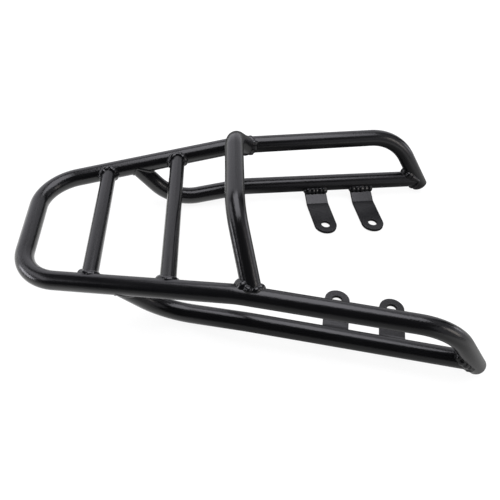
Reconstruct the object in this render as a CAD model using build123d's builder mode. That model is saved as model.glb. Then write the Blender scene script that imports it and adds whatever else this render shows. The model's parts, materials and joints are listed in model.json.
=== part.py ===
"""Motorcycle luggage rack: a welded frame of bent steel tube with four bolt-on tabs.

Millimetres. X points to the front of the motorcycle, Y to its left, Z up.
The origin lies midway between the two rear bolt holes, on the plane that the tabs sit on.
"""

import os
from math import cos, radians, sin, tan

from build123d import *

os.makedirs("parts", exist_ok=True)

# Tube stock: one size for the hoop, the lower rails and the arch, a thinner one for the cross bars
tube_diameter = 16.0
tube_wall = 1.6
bar_diameter = 13.5
bar_wall = 1.5

# Bolt holes: two pairs across the rack, the front pair wider because the rails flare
bolt_hole_diameter = 9.0
rear_bolt_spacing = 99.0
front_bolt_spacing = 113.0
bolt_pitch = 48.0

# Main hoop: bend corners of the tube's centreline, as x, half width and height, and the joints
# with the lower rails; its cut ends stand a lip clear of the welds there
rear_corner_x = -270.0
rear_corner_half_width = 60.5
rear_corner_height = 23.0
crest_x = -94.0
crest_half_width = 96.5
crest_height = 55.5
front_corner_x = 70.5
front_corner_half_width = 125.5
front_corner_height = 59.0
front_joint_x = 102.5
front_joint_half_width = 118.6
end_lip = 0.3
rear_bend_radius = 38.5
crest_bend_radius = 60.0
front_bend_radius = 48.0

# Cross bars of the platform
rear_bar_x = -211.0
bar_pitch = 63.5

# Lower rails: they leave the main hoop ahead of the rear bar, drop, and run level to its front ends
lower_start_run = 24.5
lower_drop_run = 37.0
lower_rear_corner_half_width = 71.5
lower_rear_corner_height = 4.5
lower_front_corner_x = -81.0
lower_front_corner_half_width = 88.0
lower_run_height = 12.8
lower_rear_bend_radius = 48.0
lower_front_bend_radius = 60.0

# Arch hoop: its feet stand on the front runs, a little inboard of their middle, and its top leans back
arch_foot_x = -81.5
arch_inset = 1.2
arch_top_x = -98.5
arch_top_half_width = 48.0
arch_top_height = 99.5
arch_bend_radius = 41.5

# Mounting tabs: flat bar bent once, its outer end seated on the underside of the lower rail
tab_width = 22.0
tab_thickness = 3.0
tab_crease_reach = 20.5
tab_bend_radius = 3.0
tab_seat_angle = 52.0

# Copes and welds
cope_setback = 2.0
bar_weld_climb = 2.4
rail_weld_climb = 2.8
arch_weld_climb = 3.2
weld_spread = 2.2
weld_rounding = 1.8
tab_weld_margin = 0.1
tab_tuck_clearance = 0.2

UP = Vector(0, 0, 1)


def station(x, half_width, height):
    """A point of the frame on its right-hand side; the left side mirrors it."""
    return Vector(x, -half_width, height)


def opposite(point):
    """The same point on the left-hand side."""
    return Vector(point.X, -point.Y, point.Z)


def at_x(start, end, x):
    """The point of a straight run that lies at a given x."""
    return start + (end - start) * ((x - start.X) / (end.X - start.X))


def toward(start, end):
    """Unit vector from one point to another."""
    return (end - start).normalized()


def bent_path(corners, radii):
    """Straight runs between the corners, joined by tangent bends."""
    run_start = corners[0]
    with BuildLine() as path:
        for before, corner, after, radius in zip(corners, corners[1:], corners[2:], radii):
            arriving = toward(before, corner)
            leaving = toward(corner, after)
            bend_reach = radius * tan(radians(arriving.get_angle(leaving) / 2))
            bend_start = corner - arriving * bend_reach
            bend_end = corner + leaving * bend_reach
            Line(run_start, bend_start)
            TangentArc(bend_start, bend_end, tangent=arriving)
            run_start = bend_end
        Line(run_start, corners[-1])
    return path.wire()


def round_rod(path, diameter):
    """A solid round rod along a path: the outside of a tube, or its bore."""
    with BuildPart() as rod:
        with BuildSketch(Plane(path ^ 0)):
            Circle(diameter / 2)
        sweep(path=path)
    return rod.part


def keep(part, name):
    """Label a finished piece and write its file."""
    part.label = name
    export_step(part, f"parts/{name}.step")


def keep_pair(right_part, name):
    """Keep a right-hand piece and its mirror image on the left."""
    keep(right_part, f"right_{name}")
    keep(mirror(right_part, about=Plane.XZ), f"left_{name}")


def saddle_weld(rail_axis, branch_axis, branch_diameter, climb, tubes):
    """The bead round a coped tube end: it climbs the branch and spreads over the rail."""
    span = 3 * tube_diameter
    rail_start = rail_axis.position - rail_axis.direction * span
    with BuildPart() as weld:
        with BuildSketch(Plane(origin=rail_start, z_dir=rail_axis.direction)):
            Circle(tube_diameter / 2 + climb)
        extrude(amount=2 * span)
        with BuildSketch(Plane(origin=branch_axis.position, z_dir=branch_axis.direction)):
            Circle(branch_diameter / 2 + weld_spread)
        extrude(amount=span, mode=Mode.INTERSECT)
        crown = weld.edges().filter_by(lambda edge: edge.geom_type not in (GeomType.CIRCLE, GeomType.LINE))
        fillet(crown, weld_rounding)
        for tube in tubes:
            add(tube, mode=Mode.SUBTRACT)
    return weld.part


# Main hoop: one tube, bent from the right front end round the rear to the left front end
rear_corner = station(rear_corner_x, rear_corner_half_width, rear_corner_height)
crest = station(crest_x, crest_half_width, crest_height)
front_corner = station(front_corner_x, front_corner_half_width, front_corner_height)
front_joint = station(front_joint_x, front_joint_half_width, lower_run_height)
front_bend = station(lower_front_corner_x, lower_front_corner_half_width, lower_run_height)
end_run = toward(front_corner, front_joint)
level_run = toward(front_joint, front_bend)
weld_reach = (tube_diameter / 2 + weld_spread) * sin(radians(end_run.get_angle(level_run)))
front_end = front_joint + end_run * (weld_reach + end_lip)

hoop_side = [front_end, front_corner, crest, rear_corner]
side_radii = [front_bend_radius, crest_bend_radius, rear_bend_radius]
hoop_path = bent_path(
    hoop_side + [opposite(corner) for corner in reversed(hoop_side)],
    side_radii + side_radii[::-1],
)
hoop_rod = round_rod(hoop_path, tube_diameter)

with BuildPart() as main_hoop:
    add(hoop_rod)
    add(round_rod(hoop_path, tube_diameter - 2 * tube_wall), mode=Mode.SUBTRACT)
keep(main_hoop.part, "main_hoop")

# Cross bars: straight tubes between the side rails, both ends coped to the hoop
for bar_name, bar_x in {"rear": rear_bar_x, "front": rear_bar_x + bar_pitch}.items():
    bar_joint = at_x(rear_corner, crest, bar_x)
    bar_path = bent_path([bar_joint, opposite(bar_joint)], [])
    bar_rod = round_rod(bar_path, bar_diameter)
    with BuildPart() as cross_bar:
        add(bar_rod)
        add(round_rod(bar_path, bar_diameter - 2 * bar_wall), mode=Mode.SUBTRACT)
        add(hoop_rod, mode=Mode.SUBTRACT)
    keep(cross_bar.part, f"{bar_name}_cross_bar")

    bar_weld = saddle_weld(
        rail_axis=Axis(bar_joint, toward(rear_corner, crest)),
        branch_axis=Axis(bar_joint, toward(bar_joint, opposite(bar_joint))),
        branch_diameter=bar_diameter,
        climb=bar_weld_climb,
        tubes=[hoop_rod, bar_rod],
    )
    keep_pair(bar_weld, f"{bar_name}_bar_weld")

# Arch hoop: one bent tube across the rack, its feet coped to the front runs of the main hoop
front_run = toward(crest, front_corner)
run_joint = at_x(crest, front_corner, arch_foot_x)
run_top = station(arch_top_x, arch_top_half_width, arch_top_height)
arch_rise = toward(run_joint, run_top)
inset = arch_rise.cross(front_run).normalized() * arch_inset
arch_joint = run_joint + inset
arch_top = run_top + inset
arch_foot = arch_joint + arch_rise * cope_setback
arch_path = bent_path(
    [arch_foot, arch_top, opposite(arch_top), opposite(arch_foot)],
    [arch_bend_radius, arch_bend_radius],
)
arch_rod = round_rod(arch_path, tube_diameter)
with BuildPart() as arch_hoop:
    add(arch_rod)
    add(round_rod(arch_path, tube_diameter - 2 * tube_wall), mode=Mode.SUBTRACT)
    add(hoop_rod, mode=Mode.SUBTRACT)
keep(arch_hoop.part, "arch_hoop")

arch_weld = saddle_weld(
    rail_axis=Axis(run_joint, front_run),
    branch_axis=Axis(arch_joint, arch_rise),
    branch_diameter=tube_diameter,
    climb=arch_weld_climb,
    tubes=[hoop_rod, arch_rod],
)
keep_pair(arch_weld, "arch_weld")

# Lower rails: bent tubes coped to the side rails behind and to the down-turned ends in front
rear_joint = at_x(rear_corner, crest, rear_bar_x + lower_start_run)
rear_bend = station(
    rear_joint.X + lower_drop_run, lower_rear_corner_half_width, lower_rear_corner_height
)
lower_path = bent_path(
    [
        rear_joint + toward(rear_joint, rear_bend) * cope_setback,
        rear_bend,
        front_bend,
        front_joint + level_run * cope_setback,
    ],
    [lower_rear_bend_radius, lower_front_bend_radius],
)
lower_rod = round_rod(lower_path, tube_diameter)
with BuildPart() as lower_rail:
    add(lower_rod)
    add(round_rod(lower_path, tube_diameter - 2 * tube_wall), mode=Mode.SUBTRACT)
    add(hoop_rod, mode=Mode.SUBTRACT)
keep_pair(lower_rail.part, "lower_rail")

lower_rear_weld = saddle_weld(
    rail_axis=Axis(rear_joint, toward(rear_corner, crest)),
    branch_axis=Axis(rear_joint, toward(rear_joint, rear_bend)),
    branch_diameter=tube_diameter,
    climb=rail_weld_climb,
    tubes=[hoop_rod, lower_rod],
)
keep_pair(lower_rear_weld, "lower_rail_rear_weld")

lower_front_weld = saddle_weld(
    rail_axis=Axis(front_joint, end_run),
    branch_axis=Axis(front_joint, level_run),
    branch_diameter=tube_diameter,
    climb=rail_weld_climb,
    tubes=[hoop_rod, lower_rod],
)
keep_pair(lower_front_weld, "lower_rail_front_weld")

# Mounting tabs: they stand square to the level run of the lower rail, seen here in its section
run_direction = -level_run
inward = UP.cross(run_direction)
bolt_holes = {
    "rear": station(0, rear_bolt_spacing / 2, 0),
    "front": station(bolt_pitch, front_bolt_spacing / 2, 0),
}
seat = Vector(cos(radians(tab_seat_angle)), -sin(radians(tab_seat_angle))) * (tube_diameter / 2)
crease = Vector(tab_crease_reach, tab_thickness - lower_run_height)
rise = toward(crease, seat)
rise_angle = rise.get_angle(Vector(-1, 0))
into_sheet = Vector(-rise.Y, rise.X) * tab_thickness
tab_weld_radius = tab_thickness - tab_weld_margin
tuck = seat + rise * (tab_weld_radius + tab_tuck_clearance)
under_crease = Vector(crease.X - tab_thickness * tan(radians(rise_angle / 2)), -lower_run_height)

for tab_name, hole in bolt_holes.items():
    rail_point = front_bend + run_direction * (hole - front_bend).dot(run_direction)
    hole_reach = (hole - rail_point).dot(inward)
    tip_reach = hole_reach + tab_width / 2
    section = Plane(origin=rail_point, x_dir=inward, z_dir=inward.cross(UP))

    with BuildPart() as tab:
        with BuildSketch(section) as profile:
            with BuildLine():
                Polyline(
                    tuck,
                    crease,
                    (tip_reach, crease.Y),
                    (tip_reach, under_crease.Y),
                    under_crease,
                    tuck + into_sheet,
                    close=True,
                )
            make_face()
            corners = profile.vertices()
            fillet(corners.sort_by_distance(crease)[0], tab_bend_radius)
            fillet(profile.vertices().sort_by_distance(under_crease)[0], tab_bend_radius + tab_thickness)
        extrude(amount=tab_width / 2, both=True)
        with BuildSketch(Plane(origin=rail_point, x_dir=inward, z_dir=UP)):
            with Locations(((hole_reach - tab_width) / 2, 0)):
                SlotCenterToCenter(hole_reach + tab_width, tab_width)
        extrude(amount=2 * lower_run_height, both=True, mode=Mode.INTERSECT)
        with Locations(hole):
            Hole(bolt_hole_diameter / 2)
        add(lower_rod, mode=Mode.SUBTRACT)
    keep_pair(tab.part, f"{tab_name}_tab")

    bead_length = tab_width - 2 * tab_weld_radius
    bead_start = section.from_local_coords(seat) - run_direction * (bead_length / 2)
    with BuildPart() as tab_weld:
        with BuildSketch(Plane(origin=bead_start, z_dir=run_direction)):
            Circle(tab_weld_radius)
        extrude(amount=bead_length)
        with Locations(bead_start, bead_start + run_direction * bead_length):
            Sphere(tab_weld_radius)
        add(lower_rod, mode=Mode.SUBTRACT)
        add(tab.part, mode=Mode.SUBTRACT)
    keep_pair(tab_weld.part, f"{tab_name}_tab_weld")
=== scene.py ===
import json
import random
from math import ceil, cos, pi, radians, sin, sqrt, tan

import bpy
from mathutils import Euler, Matrix, Vector


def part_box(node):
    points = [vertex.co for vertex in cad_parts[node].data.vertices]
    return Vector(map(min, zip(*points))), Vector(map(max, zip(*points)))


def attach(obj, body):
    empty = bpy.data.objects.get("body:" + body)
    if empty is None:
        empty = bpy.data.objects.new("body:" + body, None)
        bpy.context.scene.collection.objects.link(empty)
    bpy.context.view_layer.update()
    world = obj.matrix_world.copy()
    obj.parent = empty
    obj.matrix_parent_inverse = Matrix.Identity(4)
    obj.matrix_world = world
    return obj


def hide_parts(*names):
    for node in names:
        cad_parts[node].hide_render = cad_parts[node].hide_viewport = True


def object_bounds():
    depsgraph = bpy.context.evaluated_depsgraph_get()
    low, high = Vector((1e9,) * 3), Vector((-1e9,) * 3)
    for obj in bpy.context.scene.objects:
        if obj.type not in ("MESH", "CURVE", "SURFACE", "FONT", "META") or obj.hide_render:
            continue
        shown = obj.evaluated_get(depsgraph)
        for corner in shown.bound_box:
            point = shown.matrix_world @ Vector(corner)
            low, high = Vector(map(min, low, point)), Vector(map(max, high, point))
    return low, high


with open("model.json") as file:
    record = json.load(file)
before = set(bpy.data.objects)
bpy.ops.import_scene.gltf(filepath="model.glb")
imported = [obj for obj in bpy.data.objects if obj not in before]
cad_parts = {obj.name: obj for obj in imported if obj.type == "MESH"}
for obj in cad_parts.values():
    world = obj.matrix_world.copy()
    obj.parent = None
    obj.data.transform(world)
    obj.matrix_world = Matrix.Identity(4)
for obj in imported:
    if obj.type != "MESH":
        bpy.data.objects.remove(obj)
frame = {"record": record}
cad_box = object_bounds()

# Main hoop: one length of 16 mm steel tube, cold bent from the right front end round the tail to
# the left front end. Its front ends are sawn square and left open.
# Sizes are in metres; a corner is where two straight runs of the centreline would meet.
tube_diameter = 0.016
tube_wall = 0.0016
tube_sides = 64
bend_step = radians(3)
join_gap = 1e-6
rim_rounding = 0.0004
rounding_steps = 3
sharp_angle = radians(60)
smooth_angle = radians(35)
rear_corner = Vector((-0.270, -0.0605, 0.023))
crest = Vector((-0.094, -0.0965, 0.0555))
front_corner = Vector((0.0705, -0.1255, 0.059))
front_joint = Vector((0.1025, -0.1186, 0.0128))
end_reach = 0.0089
rear_bend_radius = 0.0385
crest_bend_radius = 0.060
front_bend_radius = 0.048


def opposite(point):
    """The same point on the left-hand side of the rack."""
    return Vector((point.x, -point.y, point.z))


def toward(start, end):
    """Unit vector from one point to another."""
    return (end - start).normalized()


def turned_along(direction):
    """Rotation that stands a round section square to a direction."""
    return direction.to_track_quat("Z", "Y").to_euler()


def take_up(piece):
    """Select one piece alone and work on it."""
    bpy.ops.object.select_all(action="DESELECT")
    piece.select_set(True)
    bpy.context.view_layer.objects.active = piece


def settle(piece):
    """Put a piece's place into its mesh, so that its object sits at the origin."""
    take_up(piece)
    bpy.ops.object.transform_apply(location=True, rotation=True, scale=True)


def apply_modifier(piece, kind, **settings):
    """Add one modifier and apply it."""
    take_up(piece)
    modifier = piece.modifiers.new(kind.lower(), kind)
    for name, value in settings.items():
        setattr(modifier, name, value)
    bpy.ops.object.modifier_apply(modifier=modifier.name)


def bent_skin(name, corners, radii, diameter):
    """The outside of a bent tube: a circle pushed along each run and spun round each bend."""
    bpy.ops.object.select_all(action="DESELECT")
    bpy.ops.mesh.primitive_circle_add(
        vertices=tube_sides,
        radius=diameter / 2,
        location=corners[0],
        rotation=turned_along(toward(corners[0], corners[1])),
    )
    skin = bpy.context.object
    skin.name = name
    settle(skin)
    bpy.ops.object.mode_set(mode="EDIT")
    bpy.ops.mesh.select_all(action="SELECT")
    here = corners[0]
    for before, corner, after, radius in zip(corners, corners[1:], corners[2:], radii):
        arriving = toward(before, corner)
        leaving = toward(corner, after)
        turn = arriving.angle(leaving)
        bend_reach = radius * tan(turn / 2)
        bend_start = corner - arriving * bend_reach
        bend_axis = leaving.cross(arriving).normalized()
        bpy.ops.mesh.extrude_region_move(TRANSFORM_OT_translate={"value": bend_start - here})
        bpy.ops.mesh.spin(
            steps=ceil(turn / bend_step),
            angle=turn,
            center=bend_start + arriving.cross(bend_axis) * radius,
            axis=bend_axis,
        )
        here = corner + leaving * bend_reach
    bpy.ops.mesh.extrude_region_move(TRANSFORM_OT_translate={"value": corners[-1] - here})
    bpy.ops.mesh.select_all(action="SELECT")
    bpy.ops.mesh.remove_doubles(threshold=join_gap)
    bpy.ops.mesh.normals_make_consistent(inside=False)
    bpy.ops.object.mode_set(mode="OBJECT")
    return skin


def capped_rod(name, corners, radii, diameter):
    """A closed solid rod along a tube's path, used to cope the tubes that meet it."""
    rod = bent_skin(name, corners, radii, diameter)
    bpy.ops.object.mode_set(mode="EDIT")
    bpy.ops.mesh.select_all(action="DESELECT")
    bpy.ops.mesh.select_non_manifold(extend=False, use_wire=False, use_multi_face=False, use_verts=False)
    bpy.ops.mesh.edge_face_add()
    bpy.ops.mesh.select_all(action="SELECT")
    bpy.ops.mesh.normals_make_consistent(inside=False)
    bpy.ops.object.mode_set(mode="OBJECT")
    return rod


def linear(hex_colour):
    """An sRGB hex colour as the linear values that a shader takes."""
    channels = [int(hex_colour[start:start + 2], 16) / 255 for start in (1, 3, 5)]
    return [c / 12.92 if c <= 0.04045 else ((c + 0.055) / 1.055) ** 2.4 for c in channels] + [1.0]


def add_node(material, kind, inputs=None, **settings):
    """Add one node with its settings; each input is a value or the socket that feeds it."""
    node = material.node_tree.nodes.new(kind)
    for name, value in settings.items():
        setattr(node, name, value)
    for name, value in (inputs or {}).items():
        if isinstance(value, bpy.types.NodeSocket):
            material.node_tree.links.new(value, node.inputs[name])
        else:
            node.inputs[name].default_value = value
    return node


coat_dark = "#070708"
coat_light = "#0b0b0d"
coat_ior = 1.5
mottle_detail = 3.0
mottle_low = 0.3
mottle_high = 0.7
peel_detail = 2.0
peel_strength = 0.5


def powder_coat(name, roughness, peel_width, peel_height, mottle_width):
    """Satin black polyester powder, baked on: a faint orange peel and a slightly uneven sheen."""
    coat = bpy.data.materials.new(name)
    coat.use_nodes = True
    coat.node_tree.nodes.clear()
    place = add_node(coat, "ShaderNodeTexCoord").outputs["Object"]
    mottle = add_node(
        coat, "ShaderNodeTexNoise",
        {"Vector": place, "Scale": 1 / mottle_width, "Detail": mottle_detail},
    ).outputs["Fac"]
    peel = add_node(
        coat, "ShaderNodeTexNoise",
        {"Vector": place, "Scale": 1 / peel_width, "Detail": peel_detail},
    ).outputs["Fac"]
    shade = add_node(
        coat, "ShaderNodeMix",
        {"Factor": mottle, "A": linear(coat_dark), "B": linear(coat_light)},
        data_type="RGBA",
    )
    sheen = add_node(
        coat, "ShaderNodeMapRange",
        {
            "Value": mottle, "From Min": mottle_low, "From Max": mottle_high,
            "To Min": roughness[0], "To Max": roughness[1],
        },
    )
    bumps = add_node(
        coat, "ShaderNodeBump",
        {"Height": peel, "Strength": peel_strength, "Distance": peel_height},
    )
    surface = add_node(
        coat, "ShaderNodeBsdfPrincipled",
        {
            "Base Color": shade.outputs["Result"],
            "Roughness": sheen.outputs["Result"],
            "IOR": coat_ior,
            "Normal": bumps.outputs["Normal"],
        },
    )
    add_node(coat, "ShaderNodeOutputMaterial", {"Surface": surface.outputs["BSDF"]})
    return coat


def finish_piece(piece, coat, *nodes):
    """Smooth the shading, coat the piece and let it stand for its CAD nodes."""
    take_up(piece)
    bpy.ops.object.shade_smooth_by_angle(angle=smooth_angle)
    piece.data.materials.clear()
    piece.data.materials.append(coat)
    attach(piece, "root")
    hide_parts(*nodes)


tube_coat = powder_coat(
    "satin_black_powder_coat", roughness=(0.20, 0.24),
    peel_width=0.0013, peel_height=0.00016, mottle_width=0.030,
)
front_end = front_joint + toward(front_corner, front_joint) * end_reach
hoop_side = [front_end, front_corner, crest, rear_corner]
side_radii = [front_bend_radius, crest_bend_radius, rear_bend_radius]
hoop_corners = hoop_side + [opposite(corner) for corner in reversed(hoop_side)]
hoop_radii = side_radii + side_radii[::-1]
hoop_rod = capped_rod("hoop_rod", hoop_corners, hoop_radii, tube_diameter)
main_hoop = bent_skin("main_hoop_tube", hoop_corners, hoop_radii, tube_diameter)
apply_modifier(main_hoop, "SOLIDIFY", thickness=tube_wall, offset=-1)
apply_modifier(
    main_hoop, "BEVEL",
    width=rim_rounding, segments=rounding_steps, limit_method="ANGLE", angle_limit=sharp_angle,
)
finish_piece(main_hoop, tube_coat, "main_hoop")

# Cross bars: two straight 13.5 mm steel tubes, the treads of the luggage platform.
# Both ends are fish-mouthed to sit round the side rails before welding.
bar_diameter = 0.0135
bar_wall = 0.0015


def coped(tube, wall):
    """Give a tube its wall and cut its ends to the shape of the hoop."""
    apply_modifier(tube, "SOLIDIFY", thickness=wall, offset=-1)
    apply_modifier(tube, "BOOLEAN", operation="DIFFERENCE", solver="MANIFOLD", object=hoop_rod)


def at_x(start, end, x):
    """The point of a straight run that lies at a given x."""
    return start + (end - start) * ((x - start.x) / (end.x - start.x))


bar_joints = {}
for bar in ("rear", "front"):
    bar_low, bar_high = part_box(f"{bar}_cross_bar")
    bar_joints[bar] = at_x(rear_corner, crest, (bar_low.x + bar_high.x) / 2)
    bar_ends = [bar_joints[bar], opposite(bar_joints[bar])]
    cross_bar = bent_skin(f"{bar}_cross_bar_tube", bar_ends, [], bar_diameter)
    coped(cross_bar, bar_wall)
    finish_piece(cross_bar, tube_coat, f"{bar}_cross_bar")

# Arch hoop: one bent tube that bridges the rack ahead of the platform and stops luggage sliding
# forward. It leans back, and its feet are fish-mouthed onto the front runs of the main hoop, a
# little inboard of their middle.
arch_foot_x = -0.0815
arch_inset = 0.0012
run_top = Vector((-0.0985, -0.048, 0.0995))
arch_bend_radius = 0.0415
cope_setback = 0.002
front_run = toward(crest, front_corner)
run_joint = at_x(crest, front_corner, arch_foot_x)
arch_rise = toward(run_joint, run_top)
inset = arch_rise.cross(front_run).normalized() * arch_inset
arch_joint = run_joint + inset
arch_top = run_top + inset
arch_foot = arch_joint + arch_rise * cope_setback
arch_hoop = bent_skin(
    "arch_hoop_tube",
    [arch_foot, arch_top, opposite(arch_top), opposite(arch_foot)],
    [arch_bend_radius, arch_bend_radius],
    tube_diameter,
)
coped(arch_hoop, tube_wall)
finish_piece(arch_hoop, tube_coat, "arch_hoop")

# Lower rails: a bent tube on each side that drops from the side rail behind the crest and runs
# level to the down-turned front end. They carry the mounting tabs, and both ends are fish-mouthed.
lower_start_x = -0.1865
lower_rear_corner = Vector((-0.1495, -0.0715, 0.0045))
lower_front_corner = Vector((-0.081, -0.088, 0.0128))
lower_rear_bend_radius = 0.048
lower_front_bend_radius = 0.060
rear_joint = at_x(rear_corner, crest, lower_start_x)
lower_corners = [
    rear_joint + toward(rear_joint, lower_rear_corner) * cope_setback,
    lower_rear_corner,
    lower_front_corner,
    front_joint + toward(front_joint, lower_front_corner) * cope_setback,
]
lower_radii = [lower_rear_bend_radius, lower_front_bend_radius]


def mirrored(piece, name):
    """A left-hand copy of a right-hand piece, with its own mesh."""
    take_up(piece)
    bpy.ops.object.duplicate(linked=False)
    copy = bpy.context.object
    copy.name = name
    copy.scale.y = -1
    settle(copy)
    bpy.ops.object.mode_set(mode="EDIT")
    bpy.ops.mesh.select_all(action="SELECT")
    bpy.ops.mesh.flip_normals()
    bpy.ops.object.mode_set(mode="OBJECT")
    return copy


lower_rod = capped_rod("lower_rod", lower_corners, lower_radii, tube_diameter)
right_rail = bent_skin("right_lower_rail_tube", lower_corners, lower_radii, tube_diameter)
coped(right_rail, tube_wall)
left_rail = mirrored(right_rail, "left_lower_rail_tube")
finish_piece(right_rail, tube_coat, "right_lower_rail")
finish_piece(left_rail, tube_coat, "left_lower_rail")

# Mounting tabs: 22 x 3 mm flat steel bar with a round nose, a bolt hole and one shallow bend.
# The outer end is set against the lower rail, below its middle, and welded along its top edge.
tab_width = 0.022
tab_thickness = 0.003
tab_crease_reach = 0.0205
tab_bend_radius = 0.003
tab_bend_steps = 6
tab_seat_angle = radians(30)
tab_tuck = 0.0031
tab_sides = 64
edge_rounding = 0.00035
tab_coat = powder_coat(
    "satin_black_powder_coat_on_flat_bar", roughness=(0.23, 0.27),
    peel_width=0.0016, peel_height=0.00016, mottle_width=0.012,
)
up = Vector((0, 0, 1))
run_height = lower_front_corner.z
run_direction = toward(lower_front_corner, front_joint)
inward = up.cross(run_direction)
seat_reach = tube_diameter / 2 * cos(tab_seat_angle)
seat_drop = tube_diameter / 2 * sin(tab_seat_angle)
plate_top = tab_thickness - run_height
crease_to_seat = Vector((seat_reach - tab_crease_reach, 0, -seat_drop - plate_top))
tab_rise = crease_to_seat.normalized()
tab_turn = tab_rise.angle(Vector((-1, 0, 0)))
bend_half = tab_bend_radius * tan(tab_turn / 2)
mm_per_m = 1000
tab_sliver = 1e-5
tab_frames = {}


def select_points(piece, wanted):
    """Go into edit mode with just the wanted points selected."""
    bpy.ops.object.mode_set(mode="EDIT")
    bpy.ops.mesh.select_mode(type="VERT")
    bpy.ops.mesh.select_all(action="DESELECT")
    bpy.ops.object.mode_set(mode="OBJECT")
    for vertex in piece.data.vertices:
        vertex.select = wanted(vertex.co)
    bpy.ops.object.mode_set(mode="EDIT")


for mount in frame["record"]["mounts"]:
    tab_end = mount["name"].removesuffix("_bolts")
    hole_offset = mount["dims"]["spacing_y_mm"] / 2 / mm_per_m
    hole_radius = mount["dims"]["hole_r_mm"] / mm_per_m
    bolt_hole = Vector(mount["pos_m"]) - Vector((0, hole_offset, 0))
    rail_point = lower_front_corner + run_direction * (bolt_hole - lower_front_corner).dot(run_direction)
    hole_reach = (bolt_hole - rail_point).dot(inward)

    bpy.ops.object.select_all(action="DESELECT")
    bpy.ops.mesh.primitive_circle_add(
        vertices=tab_sides, radius=tab_width / 2, location=(hole_reach, 0, plate_top)
    )
    tab = bpy.context.object
    tab.name = f"right_{tab_end}_tab_plate"
    settle(tab)
    select_points(tab, lambda spot: spot.x < hole_reach - tab_sliver)
    bpy.ops.mesh.delete(type="VERT")
    bpy.ops.mesh.select_all(action="SELECT")
    bpy.ops.mesh.edge_face_add()
    bpy.ops.object.mode_set(mode="OBJECT")
    select_points(tab, lambda spot: abs(spot.y) > tab_width / 2 - tab_sliver)
    bpy.ops.mesh.extrude_region_move(
        TRANSFORM_OT_translate={"value": (tab_crease_reach + bend_half - hole_reach, 0, 0)}
    )
    bpy.ops.mesh.spin(
        steps=tab_bend_steps,
        angle=-tab_turn,
        center=(tab_crease_reach + bend_half, 0, plate_top + tab_bend_radius),
        axis=(0, 1, 0),
    )
    bpy.ops.mesh.extrude_region_move(
        TRANSFORM_OT_translate={"value": tab_rise * (crease_to_seat.length + tab_tuck - bend_half)}
    )
    bpy.ops.mesh.select_all(action="SELECT")
    bpy.ops.mesh.remove_doubles(threshold=tab_sliver)
    bpy.ops.mesh.normals_make_consistent(inside=False)
    bpy.ops.object.mode_set(mode="OBJECT")
    if tab.data.polygons[0].normal.z < 0:
        tab.data.flip_normals()
    apply_modifier(tab, "SOLIDIFY", thickness=tab_thickness, offset=-1, use_even_offset=True)
    hole_axis = Vector((hole_reach, 0, plate_top))
    drill_ends = [hole_axis - up * tab_width, hole_axis + up * tab_width]
    drill = capped_rod("drill", drill_ends, [], 2 * hole_radius)
    apply_modifier(tab, "BOOLEAN", operation="DIFFERENCE", solver="MANIFOLD", object=drill)
    bpy.data.objects.remove(drill)
    apply_modifier(
        tab, "BEVEL",
        width=edge_rounding, segments=rounding_steps, limit_method="ANGLE", angle_limit=sharp_angle,
    )
    tab_axes = Matrix((inward, up.cross(inward), up)).transposed().to_4x4()
    tab_frames[tab_end] = Matrix.Translation(rail_point) @ tab_axes
    tab.matrix_world = tab_frames[tab_end]
    settle(tab)
    apply_modifier(tab, "BOOLEAN", operation="DIFFERENCE", solver="MANIFOLD", object=lower_rod)
    left_tab = mirrored(tab, f"left_{tab_end}_tab_plate")
    finish_piece(tab, tab_coat, f"right_{tab_end}_tab")
    finish_piece(left_tab, tab_coat, f"left_{tab_end}_tab")
    apply_modifier(tab, "WEIGHTED_NORMAL", keep_sharp=True)
    apply_modifier(left_tab, "WEIGHTED_NORMAL", keep_sharp=True)

# Tube welds: hand-laid fillets round the fish-mouthed joints, one puddle of steel after another, that
# wash out onto both tubes. No two are alike, and the powder coat lies thick and glossy over them.
puddle_pitch = 0.0012
puddle_sink = 0.0010
puddle_squash = 0.8
puddle_overlap = 1.6
puddle_stray = 0.3
puddle_variation = 0.06
puddle_detail = 3
slowest_hand, fastest_hand = 0.5, 1.5
puddle_radius = {"bar": 0.0041, "arch": 0.0046, "lower_rail_rear": 0.0026, "lower_rail_front": 0.0046}
lobe_swing = {"bar": 0.03, "arch": 0.17, "lower_rail_rear": 0.03, "lower_rail_front": 0.08}
flush_share = {"bar": 0.5, "arch": 0.25, "lower_rail_rear": 0.3, "lower_rail_front": 0.2}
lobe_length = {"bar": 0.0066, "arch": 0.0066, "lower_rail_rear": 0.0066, "lower_rail_front": 0.0042}
bead_grain = 0.00035
bead_bite = 0.0001
bead_smoothing = 0.5
bead_smooth_passes = 14
stub_slack = 0.0003
stub_length = 0.022
weld_coat = powder_coat(
    "satin_black_powder_coat_over_weld", roughness=(0.09, 0.15),
    peel_width=0.0016, peel_height=0.00008, mottle_width=0.006,
)


def saddle_root(rail_point, rail, branch_point, branch, branch_diameter, flush, steps=240):
    """The closed line where a coped tube meets its rail: points, the way out, and how far to fill."""
    across = branch.cross(rail).normalized()
    along = branch.cross(across)
    slant = branch - rail * branch.dot(rail)
    points = []
    for step in range(steps):
        angle = 2 * pi * step / steps
        out_of_branch = across * cos(angle) + along * sin(angle)
        rim = branch_point - rail_point + out_of_branch * (branch_diameter / 2)
        offset = rim - rail * rim.dot(rail)
        b = slant.dot(offset)
        reach = max(0, b * b - slant.dot(slant) * (offset.dot(offset) - (tube_diameter / 2) ** 2))
        spot = rim + branch * ((sqrt(reach) - b) / slant.dot(slant))
        out_of_rail = (spot - rail * spot.dot(rail)).normalized()
        corner = min(1, out_of_branch.angle(out_of_rail) / (pi / 2))
        fill = flush + (1 - flush) * corner
        points.append((rail_point + spot, (out_of_branch + out_of_rail).normalized(), fill))
    return points


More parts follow.
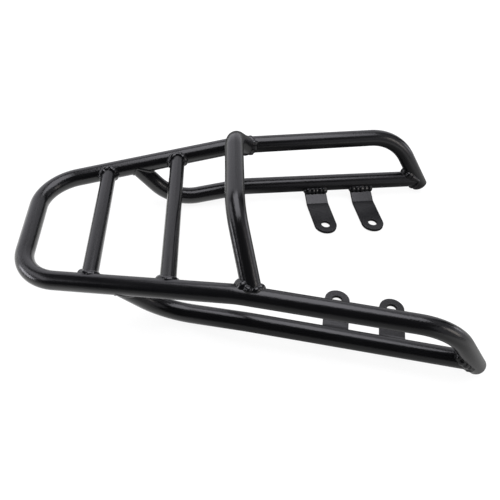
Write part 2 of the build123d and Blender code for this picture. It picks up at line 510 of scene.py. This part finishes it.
def lay_puddles(name, line, closed, radius, swing, length, draw):
    """Overlapping puddles along a line of points, swelling and shrinking as the hand moves."""
    spans = [(b[0] - a[0]).length for a, b in zip(line, line[1:] + line[:1])]
    spans = spans if closed else spans[:-1]
    count = round(sum(spans) / puddle_pitch)
    phase = draw.uniform(0, 2 * pi)
    bpy.ops.object.select_all(action="DESELECT")
    bead = None
    for index in range(count):
        target = sum(spans) * (index + 0.5 + draw.uniform(-puddle_stray, puddle_stray)) / count
        step = 0
        while target > spans[step]:
            target -= spans[step]
            step += 1
        here, outward, fill = line[step]
        heading = toward(here, line[(step + 1) % len(line)][0])
        phase += 2 * pi * puddle_pitch / length * draw.uniform(slowest_hand, fastest_hand)
        variation = draw.uniform(-puddle_variation, puddle_variation)
        size = radius * fill * (1 + swing * sin(phase) + variation)
        bpy.ops.mesh.primitive_ico_sphere_add(
            subdivisions=puddle_detail,
            radius=size,
            location=here + heading * target - outward * puddle_sink * fill,
            rotation=turned_along(heading),
            scale=(1, 1, max(puddle_squash, puddle_overlap * puddle_pitch / size)),
        )
        if bead is None:
            bead = bpy.context.object
            bead.name = name
            settle(bead)
            bpy.ops.object.mode_set(mode="EDIT")
    return bead


def add_stub(start, end, diameter):
    """Add a stub of tube to the bead in hand, so that the puddles wash out onto it."""
    bpy.ops.mesh.primitive_cylinder_add(
        vertices=tube_sides,
        radius=diameter / 2 - stub_slack,
        depth=(end - start).length,
        location=(start + end) / 2,
        rotation=turned_along(toward(start, end)),
    )


def fuse(bead):
    """Run the puddles and stubs of a bead together."""
    bpy.ops.object.mode_set(mode="OBJECT")
    apply_modifier(bead, "REMESH", mode="VOXEL", voxel_size=bead_grain)
    apply_modifier(bead, "SMOOTH", factor=bead_smoothing, iterations=bead_smooth_passes)


def trim_to_tube(bead, start, end, diameter):
    """Cut away what of a bead lies inside a tube."""
    rod = capped_rod("rod", [start, end], [], diameter - 2 * bead_bite)
    apply_modifier(bead, "BOOLEAN", operation="DIFFERENCE", solver="MANIFOLD", object=rod)
    bpy.data.objects.remove(rod)


side_rail = toward(rear_corner, crest)
across_rack = Vector((0, 1, 0))
end_run = toward(front_corner, front_joint)
level_run = toward(front_joint, lower_front_corner)
rear_drop = toward(rear_joint, lower_rear_corner)
tube_joints = {
    "rear_bar_weld": ("bar", bar_joints["rear"], side_rail, bar_joints["rear"], across_rack),
    "front_bar_weld": ("bar", bar_joints["front"], side_rail, bar_joints["front"], across_rack),
    "arch_weld": ("arch", run_joint, front_run, arch_joint, arch_rise),
    "lower_rail_rear_weld": ("lower_rail_rear", rear_joint, side_rail, rear_joint, rear_drop),
    "lower_rail_front_weld": ("lower_rail_front", front_joint, end_run, front_joint, level_run),
}
for weld, (kind, *joint) in tube_joints.items():
    branch_diameter = bar_diameter if kind == "bar" else tube_diameter
    for side in ("right", "left"):
        rail_point, rail, branch_point, branch = joint if side == "right" else map(opposite, joint)
        draw = random.Random(f"{side} {weld}")
        root = saddle_root(rail_point, rail, branch_point, branch, branch_diameter, flush_share[kind])
        lobes = puddle_radius[kind], lobe_swing[kind], lobe_length[kind]
        bead = lay_puddles(f"{side}_{weld}_bead", root, True, *lobes, draw)
        rail_reach = rail * stub_length
        add_stub(rail_point - rail_reach, rail_point + rail_reach, tube_diameter)
        add_stub(branch_point, branch_point + branch * 2 * stub_length, branch_diameter)
        fuse(bead)
        trim_to_tube(bead, rail_point - rail_reach * 2, rail_point + rail_reach * 2, tube_diameter)
        trim_to_tube(bead, branch_point, branch_point + branch * 3 * stub_length, branch_diameter)
        finish_piece(bead, weld_coat, f"{side}_{weld}")

# Tab welds: a short heavy bead along the top edge of each tab, in the corner between the flat bar and
# the tube, a little wider than the bar.
tab_puddle_radius = 0.0044
tab_lobe_swing = 0.14
tab_lobe_length = 0.0044
tab_bead_overrun = 0.0018
tab_end_share = 0.6
seat_line_steps = 40
tab_bead_half = tab_width / 2 + tab_bead_overrun - tab_puddle_radius * tab_end_share
out_of_corner = Vector((1, 0, 1)).normalized()
for tab_end, tab_frame in tab_frames.items():
    for side in ("right", "left"):
        draw = random.Random(f"{side} {tab_end} tab weld")
        seat_line = []
        for step in range(seat_line_steps + 1):
            along = tab_bead_half * (2 * step / seat_line_steps - 1)
            local = Vector((seat_reach, along, -seat_drop))
            seat_line.append((tab_frame @ local, tab_frame.to_3x3() @ out_of_corner, 1))
        rail_middle = tab_frame.translation
        plate_point = tab_frame @ Vector((seat_reach, 0, -seat_drop))
        plate_normal = tab_frame.to_3x3() @ Vector((tab_rise.z, 0, -tab_rise.x))
        rail = run_direction
        if side == "left":
            seat_line = [(opposite(spot), opposite(outward), fill) for spot, outward, fill in seat_line]
            rail_middle, plate_point = opposite(rail_middle), opposite(plate_point)
            plate_normal, rail = opposite(plate_normal), opposite(rail)
        bead_name = f"{side}_{tab_end}_tab_weld_bead"
        bead = lay_puddles(
            bead_name, seat_line, False, tab_puddle_radius, tab_lobe_swing, tab_lobe_length, draw
        )
        rail_reach = rail * stub_length
        add_stub(rail_middle - rail_reach, rail_middle + rail_reach, tube_diameter)
        fuse(bead)
        trim_to_tube(bead, rail_middle - rail_reach * 2, rail_middle + rail_reach * 2, tube_diameter)
        bpy.ops.object.select_all(action="DESELECT")
        bpy.ops.mesh.primitive_cube_add(
            size=2 * stub_length,
            location=plate_point - plate_normal * (bead_bite + stub_length),
            rotation=turned_along(plate_normal),
        )
        below_plate = bpy.context.object
        settle(below_plate)
        apply_modifier(bead, "BOOLEAN", operation="DIFFERENCE", solver="MANIFOLD", object=below_plate)
        bpy.data.objects.remove(below_plate)
        finish_piece(bead, weld_coat, f"{side}_{tab_end}_tab_weld")
bpy.data.objects.remove(hoop_rod)
bpy.data.objects.remove(lower_rod)

# Studio: a white light table in a pale room. Round the rack stand a softbox overhead, panels on the
# left, right and behind, and a black tent that the coat mirrors between them.
floor_size = 12.0
table_roughness = 0.9
table_brightness = 0.88
room_brightness = 0.9
tent_radius = 5.0
sheen_drop = 0.001
bpy.ops.object.select_all(action="DESELECT")
bpy.ops.mesh.primitive_plane_add(size=floor_size, location=(0, 0, cad_box[0].z))
floor = bpy.context.object
floor.name = "floor"
floor.visible_glossy = False
floor_acrylic = bpy.data.materials.new("white_acrylic_light_table")
floor_acrylic.use_nodes = True
acrylic = floor_acrylic.node_tree.nodes["Principled BSDF"].inputs
acrylic["Base Color"].default_value = linear("#606060")
acrylic["Roughness"].default_value = table_roughness
acrylic["Emission Color"].default_value = linear("#ffffff")
acrylic["Emission Strength"].default_value = table_brightness
floor.data.materials.append(floor_acrylic)

middle = (cad_box[0] + cad_box[1]) / 2
surround = bpy.data.worlds.new("pale_studio")
surround.use_nodes = True
room_light = surround.node_tree.nodes["Background"].inputs
room_light["Color"].default_value = linear("#ffffff")
room_light["Strength"].default_value = room_brightness
bpy.context.scene.world = surround


def only_mirrored(surface):
    """Let a studio surface show in the coat's reflections and nowhere else."""
    surface.visible_camera = False
    surface.visible_diffuse = False
    surface.visible_shadow = False


# The black tent shows only in the coat's reflections and blocks no light: it paints dark reflections
# between the lamps.
bpy.ops.mesh.primitive_uv_sphere_add(segments=48, ring_count=24, radius=tent_radius, location=middle)
tent = bpy.context.object
tent.name = "black_tent"
only_mirrored(tent)
tent_cloth = bpy.data.materials.new("black_tent_cloth")
tent_cloth.use_nodes = True
tent_cloth.node_tree.nodes["Principled BSDF"].inputs["Base Color"].default_value = linear("#000000")
tent.data.materials.append(tent_cloth)

# A plane just under the table, seen only in the coat's reflections. It glows though it is no lamp: a
# painted reflection of the lit floor, with painted pools of light to the left, right, behind and round
# the tail, and painted shade under the rack.
bpy.ops.mesh.primitive_plane_add(size=floor_size, location=(0, 0, cad_box[0].z - sheen_drop))
sheen = bpy.context.object
sheen.name = "painted_table_reflection"
only_mirrored(sheen)
floor_reflection_paint = bpy.data.materials.new("painted_floor_reflection")
floor_reflection_paint.use_nodes = True
floor_reflection_paint.node_tree.nodes.clear()
spot = add_node(floor_reflection_paint, "ShaderNodeTexCoord").outputs["Object"]
spot_parts = add_node(floor_reflection_paint, "ShaderNodeSeparateXYZ", {"Vector": spot}).outputs
spot_x, spot_y = spot_parts["X"], spot_parts["Y"]
tail_middle = (-0.24, 0.03, 0)
tail_reach = add_node(
    floor_reflection_paint, "ShaderNodeVectorMath", {0: spot, 1: tail_middle}, operation="DISTANCE"
).outputs["Value"]
# Each painted glow, the light or shade of the lit floor as the coat mirrors it, fades from one place on
# the table to another: what it follows, both places in metres, and its strength at each. The shaded one
# is painted shade under the rack.
fades = {
    "near": (spot_y, -0.8, -0.15, 0.05, 0.42),
    "shaded": (spot_y, -0.13, -0.07, 1.0, 0.3),
    "right": (spot_x, 0.05, 0.25, 0.0, 0.6),
    "left": (spot_x, -0.42, -0.28, 1.2, 0.0),
    "far": (spot_y, -0.10, 0.15, 0.0, 1.0),
    "tail": (tail_reach, 0.12, 0.21, 1.0, 0.0),
}
glows = {}
for part, (measure, start, end, start_glow, end_glow) in fades.items():
    glows[part] = add_node(
        floor_reflection_paint, "ShaderNodeMapRange",
        {
            "Value": measure, "From Min": start, "From Max": end,
            "To Min": start_glow, "To Max": end_glow,
        },
        interpolation_type="SMOOTHSTEP",
    ).outputs["Result"]
side_glow = add_node(
    floor_reflection_paint, "ShaderNodeMath",
    {0: glows["left"], 1: glows["far"], 2: glows["right"]}, operation="MULTIPLY_ADD",
).outputs[0]
low_glow = add_node(
    floor_reflection_paint, "ShaderNodeMath",
    {0: glows["near"], 1: glows["shaded"], 2: glows["tail"]}, operation="MULTIPLY_ADD",
).outputs[0]
glow = add_node(floor_reflection_paint, "ShaderNodeMath", {0: low_glow, 1: side_glow}, operation="ADD").outputs[0]
shine = add_node(floor_reflection_paint, "ShaderNodeEmission", {"Strength": glow})
add_node(floor_reflection_paint, "ShaderNodeOutputMaterial", {"Surface": shine.outputs["Emission"]})
sheen.data.materials.append(floor_reflection_paint)


def softbox(name, place, aim, width, height, radiance, turn=0, colour="#f8f7ff"):
    """A rectangular soft light, given by the brightness of its face."""
    lamp = bpy.data.lights.new(name, "AREA")
    lamp.shape = "RECTANGLE"
    lamp.size = width
    lamp.size_y = height
    lamp.energy = radiance * width * height * pi
    lamp.color = linear(colour)[:3]
    box = bpy.data.objects.new(name, lamp)
    bpy.context.scene.collection.objects.link(box)
    place, aim = Vector(place), Vector(aim)
    facing = (aim - place).to_track_quat("-Z", "Y")
    box.location = middle + place
    box.rotation_euler = (facing @ Euler((0, 0, turn)).to_quaternion()).to_euler()
    box.visible_camera = False


softbox("overhead_softbox", (0.05, 0.31, 1.2), (0.05, 0.31, 0), 1.02, 1.16, 3.5, turn=radians(16))
softbox("upper_left_panel", (-1.5, -0.15, 0.95), (0, -0.15, 0.95), 1.6, 0.7, 2.0)
softbox("lower_left_panel", (-1.5, 0.42, 0.3), (0, 0.42, 0.3), 0.95, 0.6, 1.3)
softbox("tail_strip", (-0.388, -0.075, -0.014), (0, -0.075, -0.014), 0.15, 0.065, 6.0)
softbox("far_left_panel", (-1.35, 1.6, 0.85), (-1.35, 0, 0.85), 2.7, 1.7, 1.25)
softbox("far_right_panel", (0.70, 1.6, 1.0), (0.70, 0, 1.0), 1.4, 2.1, 0.85)
softbox("right_strip", (1.48, 0.6, 0.24), (0, 0.6, 0.24), 0.4, 0.32, 2.5)
softbox("right_panel", (1.5, 0.25, 0.35), (0, 0.25, 0.35), 1.1, 0.7, 0.8)
softbox("upper_right_panel", (1.15, 0.1, 1.15), (0, 0.1, 0), 1.5, 1.0, 0.35)
softbox("near_right_strip", (1.3, -0.5, 0.64), (0, -0.5, 0.64), 0.36, 0.8, 3.0, colour="#fff6ee")
softbox("near_right_panel", (1.2, -0.8, 0.55), (0, 0, 0.2), 1.6, 1.1, 0.45)

# Camera: set to the photograph's viewpoint, a 50 mm lens on a 36 mm square frame.
camera_place = Vector((-0.13188, -0.45413, 0.45028))
camera_azimuth = radians(-6.923)
camera_elevation = radians(43.917)
camera_roll = radians(7.853)
camera_data = bpy.data.cameras.new("camera")
camera_data.lens = 50.0
camera_data.sensor_width = 36.0
camera_data.clip_start = 0.01
camera = bpy.data.objects.new("camera", camera_data)
bpy.context.scene.collection.objects.link(camera)
camera.matrix_world = (
    Matrix.Translation(camera_place)
    @ Matrix.Rotation(camera_azimuth, 4, "Z")
    @ Matrix.Rotation(pi / 2 - camera_elevation, 4, "X")
    @ Matrix.Rotation(camera_roll, 4, "Z")
)
bpy.context.scene.camera = camera
bpy.context.scene.view_settings.view_transform = "Standard"
